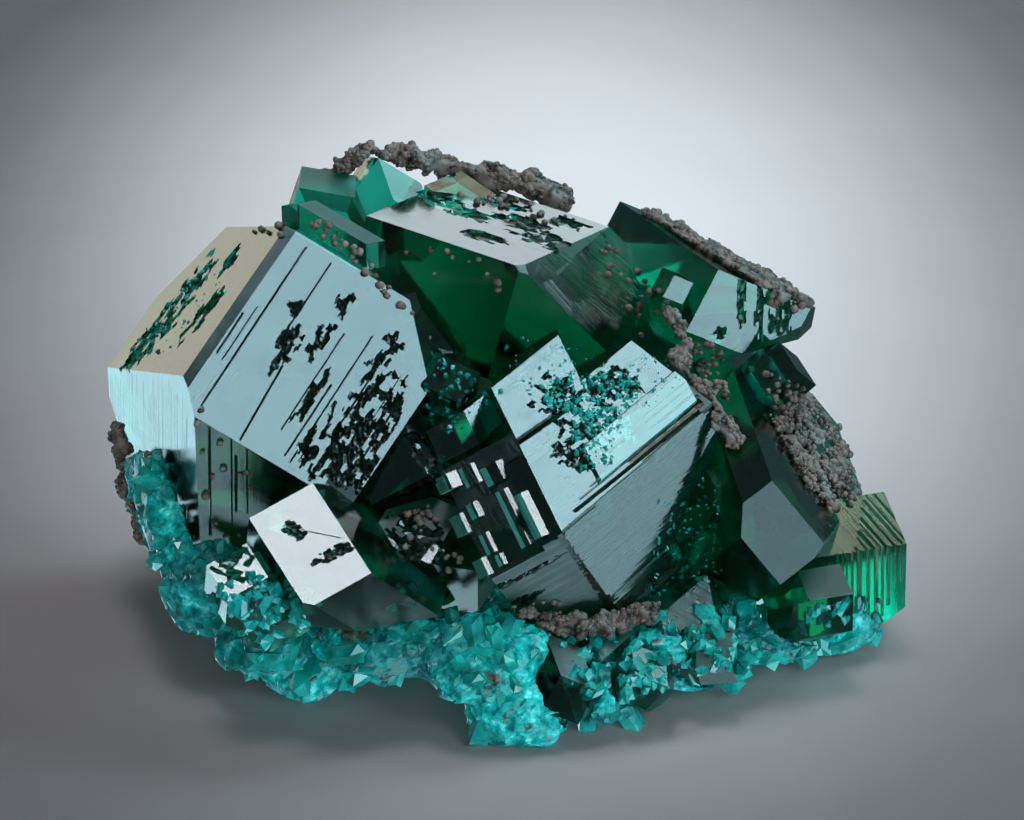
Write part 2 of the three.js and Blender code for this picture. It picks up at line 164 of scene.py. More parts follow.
class Nodes:
    """A new material, with short calls for building its node tree."""

    def __init__(self, name):
        self.material = bpy.data.materials.new(name)
        self.material.use_nodes = True
        self.tree = self.material.node_tree
        self.shader = self.tree.nodes["Principled BSDF"]

    def put(self, value, socket):
        """Gives a socket a constant, or what another node puts out."""
        if isinstance(value, bpy.types.NodeSocket):
            self.tree.links.new(value, socket)
        else:
            socket.default_value = value

    def finish(self, **values):
        """Gives the shader its values."""
        for key, value in values.items():
            self.put(value, self.shader.inputs[SHADER_SOCKETS[key]])

    def add(self, kind, inputs=None, **settings):
        node = self.tree.nodes.new(kind)
        for key, value in settings.items():
            setattr(node, key, value)
        for key, value in (inputs or {}).items():
            self.put(value, node.inputs[key])
        return node

    def maths(self, operation, a, b):
        return self.add("ShaderNodeMath", {0: a, 1: b}, operation=operation).outputs[0]

    def vectors(self, operation, a, b=(0, 0, 0), output="Vector"):
        return self.add("ShaderNodeVectorMath", {0: a, 1: b}, operation=operation).outputs[output]

    def noise(self, vector, scale, detail=2.0, roughness=0.5, distortion=0.0):
        values = {"Vector": vector, "Scale": scale, "Detail": detail, "Roughness": roughness}
        values["Distortion"] = distortion
        return self.add("ShaderNodeTexNoise", values).outputs["Fac"]

    def spread(self, value, low, high, to_low=0.0, to_high=1.0, way="LINEAR"):
        values = {"Value": value, "From Min": low, "From Max": high, "To Min": to_low, "To Max": to_high}
        return self.add("ShaderNodeMapRange", values, clamp=True, interpolation_type=way).outputs["Result"]

    def mix(self, share, *colours):
        colours = [colour if isinstance(colour, bpy.types.NodeSocket) else (*colour, 1) for colour in colours]
        values = dict(zip(MIX_INPUTS, (share, *colours)))
        return self.add("ShaderNodeMix", values, data_type="RGBA").outputs[MIX_RESULT]

    def place(self):
        return self.add("ShaderNodeTexCoord").outputs["Object"]

    def attribute(self, name, output="Fac"):
        return self.add("ShaderNodeAttribute", attribute_name=name).outputs[output]

    def bump(self, height, distance, strength=1.0, normal=None):
        values = {"Height": height, "Distance": distance, "Strength": strength}
        if normal is not None:
            values["Normal"] = normal
        return self.add("ShaderNodeBump", values).outputs["Normal"]


# The floor, with a painted pool of light behind the specimen and painted shade around it
FLOOR_HALF_SIZE = 2.0  # metres
FLOOR_ROUGHNESS = 0.8
PAINTED_LIGHT_POOL_MIDDLE = Vector((2, 56, 0)) * MM  # where the painted pool of light on the floor is brightest, behind the specimen
PAINTED_LIGHT_POOL_SIZE = Vector((37, 86, 1000)) * MM  # how far the painted pool of light reaches
PAINTED_LIGHT_POOL_FADE = (0.15, 1.15)  # where the painted light begins and ends to fade into painted shade, as shares of its size
# the colour of the painted light in the middle of the pool, and of the painted shade away from it
PAINTED_LIGHT_POOL_COLOUR = (0.93, 0.77, 0.77)
PAINTED_SHADE_COLOUR = (0.14, 0.112, 0.115)
MOTTLE_FINENESS = 60  # soft spots per metre
MOTTLE = 0.02  # how much they change the fade


def make_floor():
    """A pale floor with a painted pool of light, brightest behind the specimen, fading into painted shade away
    from it.
    """
    half = FLOOR_HALF_SIZE
    mesh = bpy.data.meshes.new("floor")
    corners = [(-half, -half, 0), (half, -half, 0), (half, half, 0), (-half, half, 0)]
    mesh.from_pydata(corners, [], [(0, 1, 2, 3)])
    floor = as_object("floor", mesh)
    nodes = Nodes("floor")
    offset = nodes.vectors("SUBTRACT", nodes.place(), PAINTED_LIGHT_POOL_MIDDLE)
    away = nodes.vectors("LENGTH", nodes.vectors("DIVIDE", offset, PAINTED_LIGHT_POOL_SIZE), output="Value")
    # how much painted shade: none in the middle of the painted pool of light, full far from it
    painted_shade = nodes.spread(away, *PAINTED_LIGHT_POOL_FADE, way="SMOOTHSTEP")
    mottle = nodes.spread(nodes.noise(nodes.place(), MOTTLE_FINENESS, 3.0), 0.3, 0.7, -MOTTLE, MOTTLE)
    colour = nodes.mix(nodes.maths("ADD", painted_shade, mottle), PAINTED_LIGHT_POOL_COLOUR, PAINTED_SHADE_COLOUR)
    nodes.finish(colour=colour, roughness=FLOOR_ROUGHNESS)
    mesh.materials.append(nodes.material)
    floor.visible_glossy = False
    floor.visible_shadow = False  # so that the lights below it reach the specimen


# Places named by the photograph: a spot is so many pixels from its left edge and from its top edge
def picture_ray(spot):
    """The line of sight through a point of the photograph."""
    across = (spot[0] - PICTURE_MIDDLE[0]) / FOCAL_PIXELS
    up = (PICTURE_MIDDLE[1] - spot[1]) / FOCAL_PIXELS
    return (PICTURE_RIGHT * across + PICTURE_UP * up - TOWARDS_CAMERA).normalized()


def tree_of(node):
    """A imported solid's faces, for finding what lies on a line of sight."""
    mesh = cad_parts[node].data
    corners = [vertex.co for vertex in mesh.vertices]
    return BVHTree.FromPolygons(corners, [tuple(polygon.vertices) for polygon in mesh.polygons])


CRYSTAL_TREE = tree_of("dioptase_crystals")


class Face:
    """A flat crystal face, found under a point of the photograph.

    Its growth lines run from the first point of lines to the second. Places on it are (u, v): metres along
    the growth lines and across them.
    """

    def __init__(self, spot, lines):
        sight = picture_ray(spot)
        self.origin, self.normal, _, _ = CRYSTAL_TREE.ray_cast(CAMERA_PLACE, sight)
        if self.normal.dot(sight) > 0:
            self.normal = -self.normal
        self.along = (self.on_plane(lines[1]) - self.on_plane(lines[0])).normalized()
        self.across = self.normal.cross(self.along)

    def on_plane(self, spot):
        sight = picture_ray(spot)
        reach = (self.origin - CAMERA_PLACE).dot(self.normal) / sight.dot(self.normal)
        return CAMERA_PLACE + sight * reach

    def flat(self, spot):
        offset = self.on_plane(spot) - self.origin
        return offset.dot(self.along), offset.dot(self.across)

    def place(self, u, v, out=0.0):
        return self.origin + self.along * u + self.across * v + self.normal * out


def crossing(one, other, v):
    """Where the line between two corners crosses the height v."""
    return (one[0] - other[0]) * (v - other[1]) / (one[1] - other[1]) + other[0]


def is_inside(u, v, outline):
    """Whether a point lies inside an outline."""
    inside = False
    previous = outline[-1]
    for corner in outline:
        crosses = (corner[1] > v) != (previous[1] > v)
        if crosses and u < crossing(previous, corner, v):
            inside = not inside
        previous = corner
    return inside


# Cutting tools: closed meshes taken away from the crystals
ABOVE_FACE = 0.05 * MM  # how far a cutting tool stands out of the face it cuts
SEED_STEP = 7.3  # from the noise of one seed to that of the next
CORNER_WANDER = 0.34  # how far a pit's corners stray, as a share of a cell
SHALLOWEST_PIT = 0.35  # as a share of the deepest
RIM_DEPTH = 0.6  # how deep a pit's rim is, as a share of its floor
SHALLOWEST_GROOVE = 0.8  # as a share of the deepest
GROOVE_OVERRUN = 1.1  # how long a groove may be on a face that has them all over, as a share of the face


def joined_mesh(name, parts):
    """One mesh from (corners, faces) parts."""
    corners = []
    faces = []
    for part_corners, part_faces in parts:
        first = len(corners)
        corners += [tuple(corner) for corner in part_corners]
        faces += [tuple(first + i for i in face) for face in part_faces]
    mesh = bpy.data.meshes.new(name)
    mesh.from_pydata(corners, [], faces)
    return mesh


def prism(ring, far_ring):
    """A closed body between two rings of corners."""
    count = len(ring)
    sides = [(i, (i + 1) % count, (i + 1) % count + count, i + count) for i in range(count)]
    return ring + far_ring, [tuple(range(count))[::-1], tuple(range(count, 2 * count)), *sides]


def etched_cells(face, outline, patches, cell, noise_size, roughness, sparse, seed):
    """Grid cells that are eaten away: near a patch's middle, with a ragged edge and islands left standing.

    The more sparse the patches are, the more islands stand in their middles.
    """
    edge = [face.flat(spot) for spot in outline]
    middles = [(*face.flat(spot), along * MM, across * MM) for spot, along, across in patches]
    us = [u for u, v in edge]
    vs = [v for u, v in edge]
    cells = set()
    for i in range(math.floor(min(us) / cell[0]), math.ceil(max(us) / cell[0])):
        for j in range(math.floor(min(vs) / cell[1]), math.ceil(max(vs) / cell[1])):
            u, v = (i + 0.5) * cell[0], (j + 0.5) * cell[1]
            if not is_inside(u, v, edge):
                continue
            nearness = max(1 - ((u - pu) / a) ** 2 - ((v - pv) / b) ** 2 for pu, pv, a, b in middles)
            nearness = min(nearness, 1 - sparse)
            if nearness < -roughness:
                continue
            ragged = noise.noise(Vector((u / noise_size[0], v / noise_size[1], seed * SEED_STEP)))
            if nearness + 2 * roughness * ragged > 0:
                cells.add((i, j))
    return cells


def without_corner_contacts(cells):
    """Fills a cell wherever two cells touch at a corner alone, so that the tool stays a clean closed body."""
    changed = True
    while changed:
        changed = False
        for i, j in sorted(cells):
            for step in (1, -1):
                if (i + 1, j + step) in cells and (i + 1, j) not in cells and (i, j + step) not in cells:
                    cells.add((i + 1, j))
                    changed = True
    return cells


def etched_tool(face, cells, cell, depth, seed):
    """The body taken out of a face: a column under every cell, with wandering corners and an uneven floor."""
    draw = random.Random(seed)
    wander = {}
    for i, j in sorted({(i + di, j + dj) for i, j in cells for di in (0, 1) for dj in (0, 1)}):
        around = sum((i - di, j - dj) in cells for di in (0, 1) for dj in (0, 1))
        deep = depth * draw.uniform(SHALLOWEST_PIT, 1.0) * (1.0 if around == 4 else RIM_DEPTH)
        stray = [draw.uniform(-CORNER_WANDER, CORNER_WANDER) for _ in range(2)]
        wander[i, j] = (*stray, deep)
    index = {key: at for at, key in enumerate(wander)}
    corners = []
    for (i, j), (du, dv, deep) in wander.items():
        corners.append(face.place((i + du) * cell[0], (j + dv) * cell[1], ABOVE_FACE))
    for (i, j), (du, dv, deep) in wander.items():
        corners.append(face.place((i + du) * cell[0], (j + dv) * cell[1], -deep))
    below = len(wander)
    faces = []
    for i, j in sorted(cells):
        ring = [index[i, j], index[i + 1, j], index[i + 1, j + 1], index[i, j + 1]]
        faces += [(ring[0], ring[1], ring[2]), (ring[0], ring[2], ring[3])]
        low = [at + below for at in ring]
        faces += [(low[2], low[1], low[0]), (low[3], low[2], low[0])]
        for side, neighbour in enumerate(((i, j - 1), (i + 1, j), (i, j + 1), (i - 1, j))):
            if neighbour not in cells:
                p, q = ring[side], ring[(side + 1) % 4]
                faces += [(q, p, p + below), (q, p + below, q + below)]
    return corners, faces


def etched(face, outline, patches, cell, noise_size, roughness, seed, depth=0.35, sparse=0.0):
    """Angular etch pits on a face, in mm. Patches are (picture point, half length, half width).

    Cell is a pit's least length and width, and noise_size that of its ragged bays.
    """
    cell = (cell[0] * MM, cell[1] * MM)
    noise_size = (noise_size[0] * MM, noise_size[1] * MM)
    cells = etched_cells(face, outline, patches, cell, noise_size, roughness, sparse, seed)
    cells = without_corner_contacts(cells)
    return [etched_tool(face, cells, cell, depth * MM, seed)] if cells else []


def spans(edge, v):
    """The stretches of u where a line across an outline at height v lies inside it."""
    crossings = []
    previous = edge[-1]
    for corner in edge:
        if (corner[1] > v) != (previous[1] > v):
            crossings.append(crossing(previous, corner, v))
        previous = corner
    crossings.sort()
    return list(zip(crossings[::2], crossings[1::2]))


def groove_ring(half_width, bottom, depth):
    """A V-shaped cross-section, as (place across the groove, height above the face)."""
    left = [(-half_width, ABOVE_FACE), (-half_width, 0.0)]
    right = [(half_width, 0.0), (half_width, ABOVE_FACE)]
    return left + [(bottom, -depth)] + right


def grooved(face, outline, spacing, width, depth, seed, cover=0.8, skew=0.0):
    """V-shaped growth grooves along a face's growth lines. Spacing and width are (least, most) in mm.

    Depth is the deepest groove's, as a share of its width. Cover is the share of grooves that are there, and
    skew puts a groove's bottom nearer to one side.
    """
    draw = random.Random(seed)
    edge = [face.flat(spot) for spot in outline]
    v = min(v for u, v in edge)
    top = max(v for u, v in edge)
    parts = []
    while v < top:
        half = draw.uniform(*width) * MM / 2
        v += half + draw.uniform(*spacing) * MM
        for start, end in spans(edge, v):
            length = (end - start) * draw.uniform(cover * cover, 1.0 if cover < 1 else GROOVE_OVERRUN)
            first = start + (end - start - length) * draw.random()
            if draw.random() > cover:
                continue
            deep = depth * 2 * half * draw.uniform(SHALLOWEST_GROOVE, 1.0)
            ring = groove_ring(half, skew * half, deep)
            ends = [[face.place(u, v + aside, out) for aside, out in ring] for u in (first, first + length)]
            parts.append(prism(*ends))
        v += half
    return parts


def combined(target, parts, operation):
    """Takes parts away from a mesh object, or joins them to it."""
    if not parts:
        return
    tool = as_object("tool", joined_mesh("tool", parts))
    fix = bmesh.new()
    fix.from_mesh(tool.data)
    bmesh.ops.recalc_face_normals(fix, faces=fix.faces)
    fix.to_mesh(tool.data)
    fix.free()
    change = target.modifiers.new("change", "BOOLEAN")
    change.operation = operation
    change.solver = "MANIFOLD"
    change.object = tool
    depsgraph = bpy.context.evaluated_depsgraph_get()
    result = bpy.data.meshes.new_from_object(target.evaluated_get(depsgraph))
    target.modifiers.clear()
    target.data = result
    bpy.data.objects.remove(tool)


# The crystal faces that carry detail: a point of the photograph on each, and two along its growth lines
LEFT_ROOF = Face((200, 300), ((107, 370), (243, 217)))
LEFT_FRONT = Face((300, 340), ((297, 476), (412, 300)))
LEFT_SIDE = Face((150, 430), ((190, 375), (190, 540)))
LEFT_CORNER = Face((232, 480), ((212, 427), (213, 530)))
TOP_ROOF = Face((460, 225), ((370, 212), (517, 263)))
TOP_FRONT = Face((440, 262), ((370, 213), (517, 263)))
TOP_RIGHT = Face((620, 270), ((536, 263), (626, 334)))
TOP_MIDDLE = Face((550, 292), ((521, 275), (566, 324)))
CENTRE_ROOF = Face((600, 400), ((567, 522), (703, 410)))
CENTRE_RIGHT = Face((650, 500), ((567, 522), (703, 410)))
CENTRE_END = Face((540, 585), ((491, 578), (560, 540)))
CENTRE_LEFT = Face((500, 520), ((512, 451), (563, 521)))
SQUARE = Face((300, 545), ((246, 519), (310, 606)))
RIGHT_FRONT = Face((780, 320), ((715, 344), (787, 336)))
MIDDLE_END = Face((770, 530), ((771, 481), (821, 535)))
BOTTOM_ROOF = Face((880, 515), ((862, 500), (898, 541)))
BOTTOM_FRONT = Face((870, 590), ((855, 560), (855, 640)))

LEFT_ROOF_OUTLINE = [(110, 370), (182, 374), (236, 307), (288, 230), (243, 217), (202, 244), (169, 279)]
LEFT_FRONT_OUTLINE = [
    (306, 246), (363, 277), (399, 312), (412, 346), (400, 420), (361, 494), (300, 478), (214, 428),
    (198, 404), (197, 369), (237, 308),
]
LEFT_SIDE_OUTLINE = [(109, 372), (184, 376), (190, 400), (187, 566), (140, 500), (112, 450)]
TOP_ROOF_OUTLINE = [(374, 212), (403, 190), (470, 185), (564, 212), (598, 230), (536, 261), (518, 262)]
CENTRE_ROOF_OUTLINE = [
    (492, 386), (558, 336), (580, 358), (613, 356), (655, 326), (724, 436), (703, 409), (567, 520),
]
CENTRE_RIGHT_OUTLINE = [(565, 532), (703, 412), (725, 439), (725, 564), (700, 600), (606, 594)]
CENTRE_END_OUTLINE = [(560, 541), (545, 541), (492, 578), (482, 608), (560, 622), (604, 606)]
SQUARE_OUTLINE = [(249, 519), (310, 486), (370, 571), (310, 604)]
BOTTOM_ROOF_OUTLINE = [(854, 552), (866, 488), (895, 507), (906, 543)]
RIGHT_FRONT_OUTLINE = [
    (720, 273), (697, 314), (694, 332), (716, 342), (763, 347), (807, 327), (809, 305), (795, 299),
    (770, 288),
]
LEFT_CORNER_OUTLINE = [(191, 400), (213, 428), (250, 446), (250, 520), (213, 535), (191, 560)]
CENTRE_ROOF_RIGHT_OUTLINE = [(600, 470), (618, 428), (684, 372), (724, 436), (640, 465)]
CENTRE_ROOF_LOW_OUTLINE = [(567, 518), (600, 470), (640, 462), (700, 410)]
TOP_MIDDLE_OUTLINE = [(521, 276), (549, 277), (584, 310), (566, 323), (517, 291)]
TOP_RIGHT_OUTLINE = [(540, 263), (600, 231), (655, 285), (626, 332)]
BOTTOM_FRONT_OUTLINE = [(830, 556), (905, 545), (903, 578), (869, 637), (806, 650)]

# Small faces that are broken all over: face, outline, the middle of the break and its half sizes in mm
BROKEN = [
    (Face((415, 545), ((390, 530), (440, 560))), [(380, 515), (435, 512), (450, 545), (430, 572), (395, 560)],
        (415, 545), (2.0, 1.6)),
    (Face((425, 455), ((413, 433), (440, 480))), [(405, 432), (432, 428), (455, 480), (450, 498), (430, 490)],
        (430, 465), (2.0, 1.0)),
    (Face((225, 565), ((205, 560), (250, 580))), [(205, 548), (242, 542), (262, 580), (222, 605), (204, 570)],
        (236, 560), (1.0, 1.2)),
]
BROKEN_SEED = 40


def broken(face, outline, middle, reach, seed):
    """Coarse, deep pits all over a small face."""
    return etched(face, outline, [(middle, *reach)], cell=(0.26, 0.2), noise_size=(0.7, 0.5), roughness=1.2,
        depth=0.5, seed=seed)


def crystal_pits():
    """Etch pits, where the photograph shows them."""
    return [
        etched(LEFT_ROOF, LEFT_ROOF_OUTLINE, [
            ((188, 290), 2.1, 1.7), ((165, 320), 2.7, 2.1), ((142, 345), 2.3, 1.7), ((205, 312), 1.5, 1.3),
            ((228, 262), 0.8, 0.9),
        ], (0.28, 0.24), (0.8, 0.9), 1.1, sparse=0.5, seed=3),
        etched(LEFT_FRONT, LEFT_FRONT_OUTLINE, [
            ((295, 308), 0.35, 0.3), ((285, 348), 1.3, 0.42), ((343, 308), 0.7, 0.4), ((322, 338), 1.0, 0.35),
            ((311, 397), 1.5, 0.3), ((375, 410), 2.4, 1.3), ((350, 455), 1.8, 1.9), ((312, 440), 1.6, 0.4),
            ((388, 345), 0.8, 0.5), ((380, 375), 0.9, 0.7),
        ], (0.17, 0.11), (0.55, 0.28), 1.1, sparse=0.6, seed=5),
        etched(TOP_ROOF, TOP_ROOF_OUTLINE, [
            ((440, 200), 1.5, 0.7), ((470, 214), 1.6, 0.8), ((508, 205), 1.2, 0.8), ((520, 222), 1.6, 1.0),
            ((480, 236), 1.4, 0.7), ((545, 240), 1.6, 1.1), ((570, 224), 1.0, 0.8),
        ], (0.34, 0.22), (1.1, 0.6), 0.9, seed=7),
        etched(CENTRE_ROOF, CENTRE_ROOF_OUTLINE, [
            ((560, 395), 1.6, 1.0), ((600, 388), 1.8, 1.0), ((625, 385), 1.0, 0.8), ((590, 430), 1.4, 1.5),
            ((575, 455), 0.9, 1.0), ((612, 425), 0.9, 1.1),
        ], (0.20, 0.13), (0.55, 0.32), 1.0, depth=0.4, seed=9),
        etched(CENTRE_RIGHT, CENTRE_RIGHT_OUTLINE, [
            ((706, 486), 1.0, 0.6), ((700, 530), 1.3, 0.8), ((684, 566), 1.2, 0.6), ((715, 550), 1.0, 0.8),
            ((655, 580), 0.8, 0.4),
        ], (0.18, 0.10), (0.5, 0.22), 1.1, sparse=0.95, depth=0.2, seed=11),
        etched(SQUARE, SQUARE_OUTLINE, [
            ((335, 553), 0.35, 1.3), ((295, 531), 0.7, 0.4),
        ], (0.12, 0.16), (0.35, 0.6), 0.8, depth=0.2, seed=13),
        etched(RIGHT_FRONT, RIGHT_FRONT_OUTLINE, [
            ((742, 300), 0.25, 1.7), ((760, 315), 0.3, 1.4), ((782, 318), 0.7, 1.0), ((720, 332), 0.5, 0.3),
        ], (0.14, 0.22), (0.3, 0.9), 0.8, depth=0.25, seed=15),
        etched(CENTRE_END, CENTRE_END_OUTLINE, [
            ((535, 570), 1.8, 0.18), ((505, 585), 0.9, 0.3), ((520, 603), 1.2, 0.35),
        ], (0.2, 0.12), (0.5, 0.3), 0.6, depth=0.2, seed=17),
        *[broken(*place, seed=BROKEN_SEED + at) for at, place in enumerate(BROKEN)],
    ]


SAW = 1.0  # the skew of a groove with one upright side, so that its other side tips towards the light


def crystal_grooves():
    """Growth grooves of the striped faces."""
    return [
        grooved(LEFT_SIDE, LEFT_SIDE_OUTLINE, (0.05, 0.30), (0.05, 0.14), 0.07, seed=21),
        grooved(LEFT_CORNER, LEFT_CORNER_OUTLINE, (0.05, 0.3), (0.05, 0.2), 0.2, seed=22),
        grooved(LEFT_FRONT, LEFT_FRONT_OUTLINE, (0.15, 0.9), (0.05, 0.12), 0.09, cover=0.6, seed=23),
        grooved(CENTRE_ROOF, CENTRE_ROOF_RIGHT_OUTLINE, (0.01, 0.2), (0.08, 0.32), 0.25, skew=0.7, cover=0.95,
            seed=24),
        grooved(CENTRE_ROOF, CENTRE_ROOF_LOW_OUTLINE, (0.03, 0.3), (0.05, 0.16), 0.2, seed=25),
        grooved(CENTRE_RIGHT, CENTRE_RIGHT_OUTLINE, (0.004, 0.004), (0.07, 0.16), 1.02, cover=1.0, skew=SAW,
            seed=26),
        grooved(CENTRE_END, CENTRE_END_OUTLINE, (0.004, 0.004), (0.07, 0.14), 0.55, cover=1.0, skew=SAW,
            seed=31),
        grooved(TOP_MIDDLE, TOP_MIDDLE_OUTLINE, (0.05, 0.25), (0.05, 0.2), 0.2, seed=27),
        grooved(TOP_RIGHT, TOP_RIGHT_OUTLINE, (0.08, 0.5), (0.05, 0.2), 0.2, seed=28),
        grooved(BOTTOM_ROOF, BOTTOM_ROOF_OUTLINE, (0.06, 0.3), (0.10, 0.26), 0.6, cover=1.0, seed=29),
        grooved(BOTTOM_FRONT, BOTTOM_FRONT_OUTLINE, (0.05, 0.25), (0.10, 0.30), 0.5, cover=1.0, seed=30),
    ]


# The directions of the growth steps on the centre crystal's dark face
STEP_RUN = CENTRE_ROOF.normal.cross(CENTRE_LEFT.normal).normalized()  # along the edge of the crystal's roof
STEP_DOWN = CENTRE_LEFT.normal.cross(CENTRE_END.normal).normalized()
STEP_DOWN *= -math.copysign(1, STEP_DOWN.dot(CENTRE_ROOF.normal))
TOWARDS_TOP_LIGHT = Vector(LIGHTS["top"][0]).normalized()
STEP_TOP = (TOWARDS_CAMERA + TOWARDS_TOP_LIGHT).normalized()
STEP_OUT = STEP_RUN.cross(STEP_TOP).normalized()  # across a step's narrow top, which mirrors the top light
STEP_OUT *= math.copysign(1, STEP_OUT.dot(CENTRE_LEFT.normal))
STEP_ROOT = 0.5 * MM  # how deep a growth step is set into the face it stands on


def slab(corner, one, two, three):
    """A skewed box with three edges from one corner."""
    corners = [corner + one * i + two * j + three * k for i in (0, 1) for j in (0, 1) for k in (0, 1)]
    return corners, [(0, 1, 3, 2), (4, 6, 7, 5), (0, 4, 5, 1), (2, 3, 7, 6), (0, 2, 6, 4), (1, 5, 7, 3)]


def ledge(start, end, width, drop):
    """A growth step on the centre crystal's dark face, with a narrow bright top."""
    near, _, _, _ = CRYSTAL_TREE.ray_cast(CAMERA_PLACE, picture_ray(start))
    length = (CENTRE_LEFT.on_plane(end) - CENTRE_LEFT.on_plane(start)).dot(STEP_RUN)
    across = STEP_OUT * (width * MM + STEP_ROOT)
    return slab(near - STEP_OUT * STEP_ROOT, STEP_RUN * length, across, STEP_DOWN * drop * MM)


# The growth steps: where each one's top starts and ends in the photograph, its width and its drop in mm
LEDGES = [
    ((493, 438), (505, 454), 0.30, 0.5), ((502, 459), (511, 476), 0.35, 0.9),
    ((508, 487), (531, 545), 0.24, 0.5), ((489, 531), (499, 550), 0.20, 0.4),
    ((503, 552), (510, 562), 0.20, 0.3), ((486, 556), (494, 573), 0.28, 0.5),
    ((463, 512), (474, 530), 0.20, 0.6), ((456, 470), (464, 484), 0.55, 0.7),
    ((474, 462), (484, 480), 0.20, 0.7), ((478, 500), (486, 514), 0.30, 0.4),
    ((528, 490), (552, 532), 0.40, 0.4),
]


CENTRE_RIGHT_THICKNESS = 3.0  # mm, of the plate that evens out the centre crystal's striped face


def plate(face, outline, thickness):
    """A plate under a face, bounded by an outline."""
    ring = [face.on_plane(spot) for spot in outline]
    return prism(ring, [corner - face.normal * thickness * MM for corner in ring])


TRENCH_SKEW = 0.7  # how far a trench's bottom lies towards its steep side


def trench(face, start, end, width, depth):
    """A single groove from one point of the photograph to another, with one steep side."""
    first, last = Vector(face.flat(start)), Vector(face.flat(end))
    along = (last - first).normalized()
    across = Vector((-along.y, along.x))
    half = width * MM / 2
    rings = []
    for point in (first, last):
        ring = []
        for aside, out in groove_ring(half, TRENCH_SKEW * half, depth * MM):
            spot = point + across * aside
            ring.append(face.place(spot.x, spot.y, out))
        rings.append(ring)
    return prism(*rings)


def crystal_trenches():
    """Broad bands between growth steps, where the photograph shows them. Width and depth are in mm."""
    return [
        trench(CENTRE_ROOF, (506, 450), (567, 408), 0.40, 0.22),
        trench(CENTRE_ROOF, (612, 437), (684, 377), 0.45, 0.25),
        trench(CENTRE_ROOF, (608, 463), (701, 400), 0.35, 0.20),
        trench(CENTRE_ROOF, (574, 512), (700, 411), 0.22, 0.20),
        trench(LEFT_FRONT, (240, 440), (283, 365), 0.12, 0.08),
        trench(SQUARE, (302, 530), (341, 538), 0.06, 0.06),
    ]


class Finish:
    """How a flat face is finished: how rough it is and how strong its fine growth lines are."""

    def __init__(self, face, roughness, lines):
        self.face, self.roughness, self.lines = face, roughness, lines


FINISHES = [
    Finish(LEFT_ROOF, 0.06, 0.2), Finish(LEFT_FRONT, 0.07, 0.35), Finish(LEFT_SIDE, 0.12, 0.5),
    Finish(LEFT_CORNER, 0.12, 0.6), Finish(TOP_ROOF, 0.10, 0.1), Finish(TOP_FRONT, 0.10, 0.1),
    Finish(TOP_RIGHT, 0.10, 0.6), Finish(TOP_MIDDLE, 0.10, 0.8), Finish(CENTRE_ROOF, 0.10, 0.7),
    Finish(CENTRE_RIGHT, 0.22, 0.9), Finish(CENTRE_END, 0.36, 0.0), Finish(CENTRE_LEFT, 0.14, 0.8),
    Finish(SQUARE, 0.05, 0.0), Finish(RIGHT_FRONT, 0.10, 0.1), Finish(MIDDLE_END, 0.10, 0.1),
    Finish(BOTTOM_ROOF, 0.12, 0.9), Finish(BOTTOM_FRONT, 0.12, 0.9),
]
DULL_SPOTS = [  # small faces that mirror little in the photograph
    (830, 581), (555, 640), (600, 655), (320, 190), (335, 178), (385, 180), (392, 200), (308, 208),
]
DULL_ROUGHNESS = 0.5
PLAIN_ROUGHNESS = 0.12  # of every other face
BROKEN_ROUGHNESS = 0.2  # of the smallest faces, left by etching
BROKEN_AREA = 0.12 * MM * MM  # the largest of those
HIDDEN_ROUGHNESS = 0.35  # of faces that look down into the matrix
HIDDEN_SLOPE = -0.5  # the upward part of such a face's normal, at most
SAME_LEVEL = 0.1 * MM  # how far from a crystal face a part of it may lie
SAME_WAY = 0.8  # the least cosine between its normal and the face's


def of_faces(mesh, name, width):
    """What a mesh knows about each of its faces, in so many numbers for each."""
    values = np.empty(len(mesh.polygons) * width)
    mesh.polygons.foreach_get(name, values)
    return values.reshape(-1, width)


def finish_faces(mesh):
    """Writes each face's finish into the mesh, for the material to read."""
    count = len(mesh.polygons)
    centres = of_faces(mesh, "center", 3)
    normals = of_faces(mesh, "normal", 3)
    areas = of_faces(mesh, "area", 1)[:, 0]
    roughness = np.where(normals[:, 2] < HIDDEN_SLOPE, HIDDEN_ROUGHNESS, PLAIN_ROUGHNESS)
    roughness[areas < BROKEN_AREA] = BROKEN_ROUGHNESS
    lines = np.zeros(count)
    across = np.zeros((count, 3))
    dull = [Finish(Face(spot, (spot, (spot[0] + 1, spot[1]))), DULL_ROUGHNESS, 0.0) for spot in DULL_SPOTS]
    for finish in FINISHES + dull:
        face = finish.face
        level = (centres - np.array(face.origin)) @ np.array(face.normal)
        flat = (np.abs(level) < SAME_LEVEL) & (normals @ np.array(face.normal) > SAME_WAY)
        roughness[flat] = finish.roughness
        lines[flat] = finish.lines
        across[flat] = face.across
    mesh.attributes.new("roughness", "FLOAT", "FACE").data.foreach_set("value", roughness)
    mesh.attributes.new("lines", "FLOAT", "FACE").data.foreach_set("value", lines)
    mesh.attributes.new("across", "FLOAT_VECTOR", "FACE").data.foreach_set("vector", across.ravel())


DIOPTASE_COLOUR = (0.34, 0.94, 0.86, 1)
DIOPTASE_IOR = 1.67
DIOPTASE_LETS_THROUGH = (0.0, 0.86, 0.80, 1)
DIOPTASE_DENSITY = 1350  # of the absorption, per metre
LINE_FINENESS = 9000  # fine growth lines per metre
LINE_HEIGHT = 0.02 * MM
LINE_DRIFT = (0.02, 0.02, 0.02)  # how slowly the lines change along their length
WAVE_FINENESS = 350  # slow waves per metre
WAVE_HEIGHT = 0.01 * MM
SMUDGE_FINENESS = 900  # smudges per metre
SMUDGE_ROUGHNESS = (-0.03, 0.08)  # what a smudge adds to the roughness, least and most


